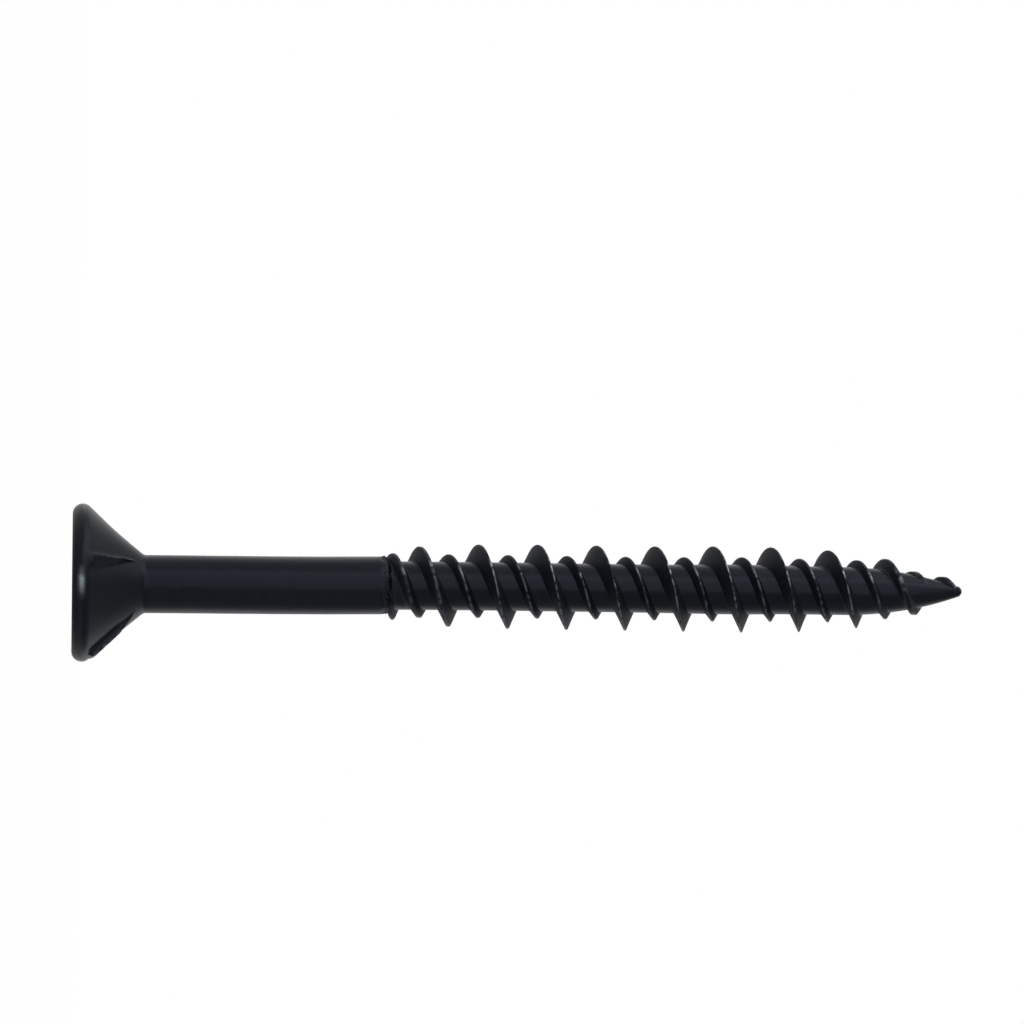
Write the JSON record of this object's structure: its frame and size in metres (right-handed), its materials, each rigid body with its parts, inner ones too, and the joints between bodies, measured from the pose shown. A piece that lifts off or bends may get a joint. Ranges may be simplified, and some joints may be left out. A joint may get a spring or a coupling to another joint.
{
  "type": "flat head wood screw",
  "caption": "Countersunk wood screw with a square drive recess, a plain shank, a high and low thread and a tapered point, black finish.",
  "frame": {"origin": "centre of the head's flat face, which the screw stands on", "axes": "+Z along the axis from the head to the point; X and Y along the sides of the square recess"},
  "size_m": [0.0078, 0.0078, 0.0444],
  "materials": {
    "black_steel": "satin black conversion coating on hardened steel, slightly blue, with a fine grain on the head's face"
  },
  "bodies": {
    "root": {"screw": "black_steel"}
  },
  "joints": []
}
